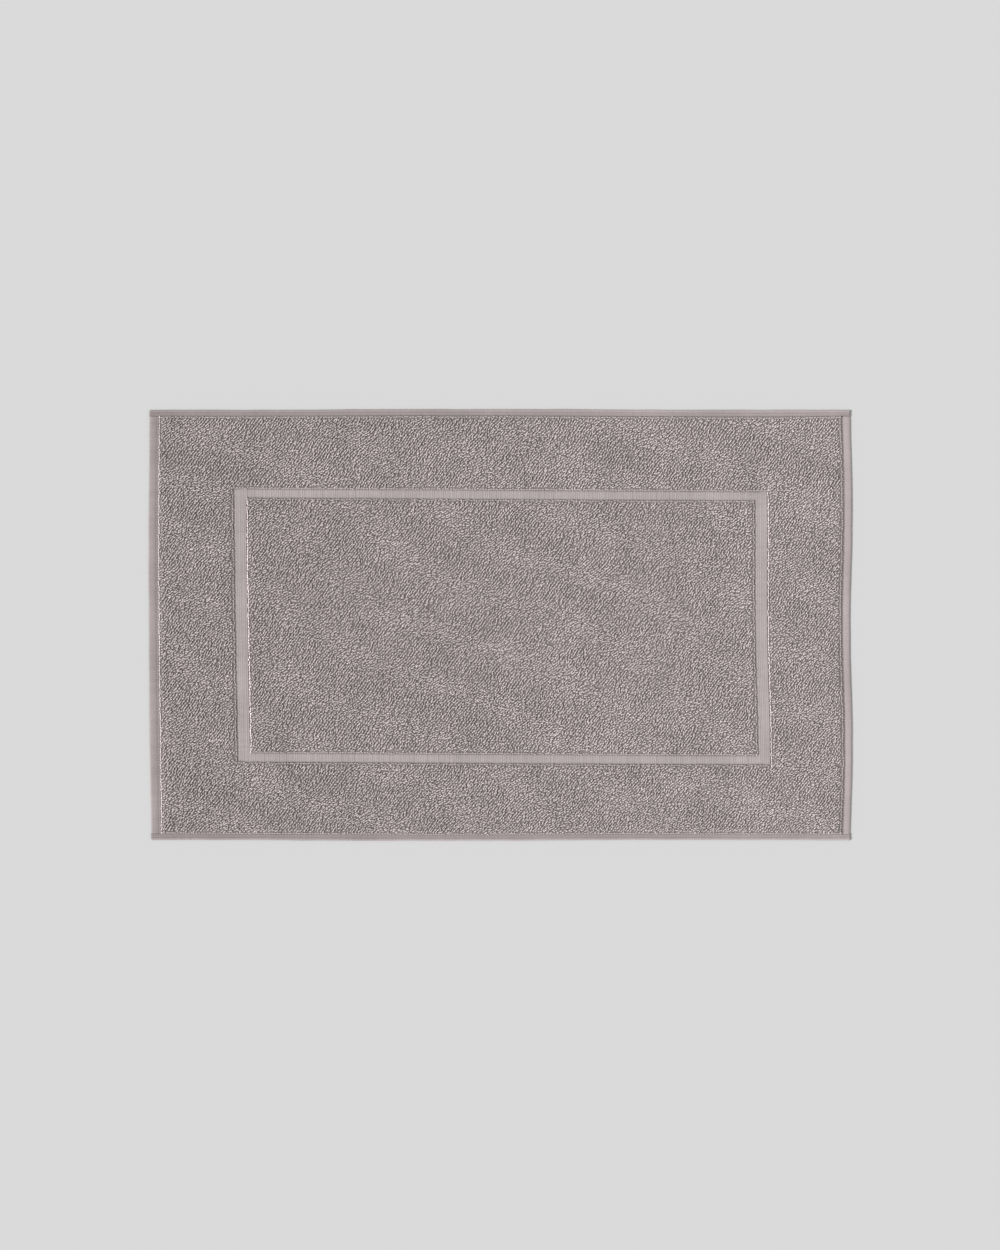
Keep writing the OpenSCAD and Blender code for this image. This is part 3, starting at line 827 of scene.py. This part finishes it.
tack_low, tack_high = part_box("corner_tacks")
tack_length = TACK_STITCHES * STITCH_PITCH
tack_x = tack_high.x - tack_length / 2
tack_y = tack_high.y - THREAD_THICKNESS / 2
joined = []
for x in (-tack_x, tack_x):
    for y in (-tack_y, tack_y):
        row = stitch_row((x, y, tack_low.z - SEAM_PRESS * hem_height), math.pi / 2, tack_length)
        part = bpy.data.objects.new("tack", row)
        bpy.context.scene.collection.objects.link(part)
        joined.append(part)
with bpy.context.temp_override(active_object=joined[0], selected_editable_objects=joined):
    bpy.ops.object.join()
finished("tack_stitches", joined[0].data, "sewing_thread", "corner_tacks")
bpy.data.objects.remove(joined[0])


# The care label is a blank satin tape. One end is caught in the left hem's seam on the underside,
# and the rest lies flat under the pile, so it shows only when the mat is lifted.
LABEL_COLOUR, WHITENESS = (0.62, 0.61, 0.59), (0.94, 1.04)
LABEL_CELLS = (34, 10)
BEND_RUN = 2.5  # how much of the tape comes down from the seam, in drops
BEND_OUT = 0.25  # how far out from the seam it starts, of its run
LABEL_CURL, CURL_ALONG, CURL_ACROSS = 0.25 * MM, 9, 60

label_low, label_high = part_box("care_label")
tape = label_high.x - label_low.x
label_mesh = closed_slab((0, label_low.y, 0), (1, label_high.y, LABEL_THICKNESS), LABEL_CELLS)
points = corners(label_mesh)
drop = label_high.z - label_low.z - LABEL_THICKNESS
run = points[:, 0] * (tape + drop)
fallen = np.clip(run / (BEND_RUN * drop), 0, 1)
points[:, 0] = label_low.x + np.maximum(run - drop, BEND_OUT * run)
points[:, 2] += label_low.z + drop * (0.5 + 0.5 * np.cos(math.pi * fallen))
curl = np.sin(CURL_ALONG * points[:, 0] / tape) * np.cos(CURL_ACROSS * points[:, 1])
points[:, 2] += LABEL_CURL * fallen * curl
move_corners(label_mesh, points)
label_mesh.polygons.foreach_set("use_smooth", [True] * len(label_mesh.polygons))
satin = bpy.data.materials.new("label_satin")
satin.use_nodes = True
threads = satin.node_tree
place = add(threads, "ShaderNodeTexCoord").outputs["Object"]
weft = add(threads, "ShaderNodeTexWave", {"Vector": place, "Scale": 700.0}, bands_direction="X")
weave = add(threads, "ShaderNodeBump",
            {"Strength": 0.3, "Distance": 0.05 * MM, "Height": weft.outputs["Fac"]})
tone = add(threads, "ShaderNodeMapRange", {"Value": noise(threads, place, (1, 1, 1), 300),
                                           "To Min": WHITENESS[0], "To Max": WHITENESS[1]})
white = add(threads, "ShaderNodeVectorMath", {0: LABEL_COLOUR, "Scale": tone.outputs[0]},
            operation="SCALE")
shader = threads.nodes["Principled BSDF"]
threads.links.new(white.outputs[0], shader.inputs["Base Color"])
threads.links.new(weave.outputs[0], shader.inputs["Normal"])
shader.inputs["Roughness"].default_value = 0.45
shader.inputs["Sheen Weight"].default_value = 0.2
label_mesh.materials.append(satin)
label = finished("blank_label", label_mesh, "label_tape", "care_label")


# The room is a plain pale floor under soft light: an even glow from all round and one broad
# light, half-way up beyond the left end and a little to the front, that draws out the pile.
FLOOR_SIZE = 24.0
FLOOR_GREY = 0.4485
GLOW = 0.78
KEY_SHARE = 0.78
KEY_BEARING, KEY_HEIGHT = math.radians(197), math.radians(41)
KEY_SOFTNESS = math.radians(16)

floor_mesh = bpy.data.meshes.new("floor")
edge = FLOOR_SIZE / 2
floor_corners = [(-edge, -edge, 0), (edge, -edge, 0), (edge, edge, 0), (-edge, edge, 0)]
floor_mesh.from_pydata(floor_corners, [], [(0, 1, 2, 3)])
floor_paint = bpy.data.materials.new("floor_paint")
floor_paint.use_nodes = True
painted = floor_paint.node_tree.nodes["Principled BSDF"].inputs
painted["Base Color"].default_value = (FLOOR_GREY, FLOOR_GREY, FLOOR_GREY, 1)
painted["Roughness"].default_value = 1.0
painted["Specular IOR Level"].default_value = 0.0
floor_mesh.materials.append(floor_paint)
floor = bpy.data.objects.new("floor", floor_mesh)
bpy.context.scene.collection.objects.link(floor)

key = bpy.data.objects.new("key_light", bpy.data.lights.new("key_light", "SUN"))
key.data.energy = math.pi * KEY_SHARE / math.sin(KEY_HEIGHT)
key.data.angle = KEY_SOFTNESS
key.rotation_euler = (math.pi / 2 - KEY_HEIGHT, 0, KEY_BEARING + math.pi / 2)
bpy.context.scene.collection.objects.link(key)

world = bpy.data.worlds.new("room")
world.use_nodes = True
world.node_tree.nodes["Background"].inputs["Color"].default_value = (1, 1, 1, 1)
world.node_tree.nodes["Background"].inputs["Strength"].default_value = GLOW
bpy.context.scene.world = world
bpy.context.scene.view_settings.view_transform = "Standard"
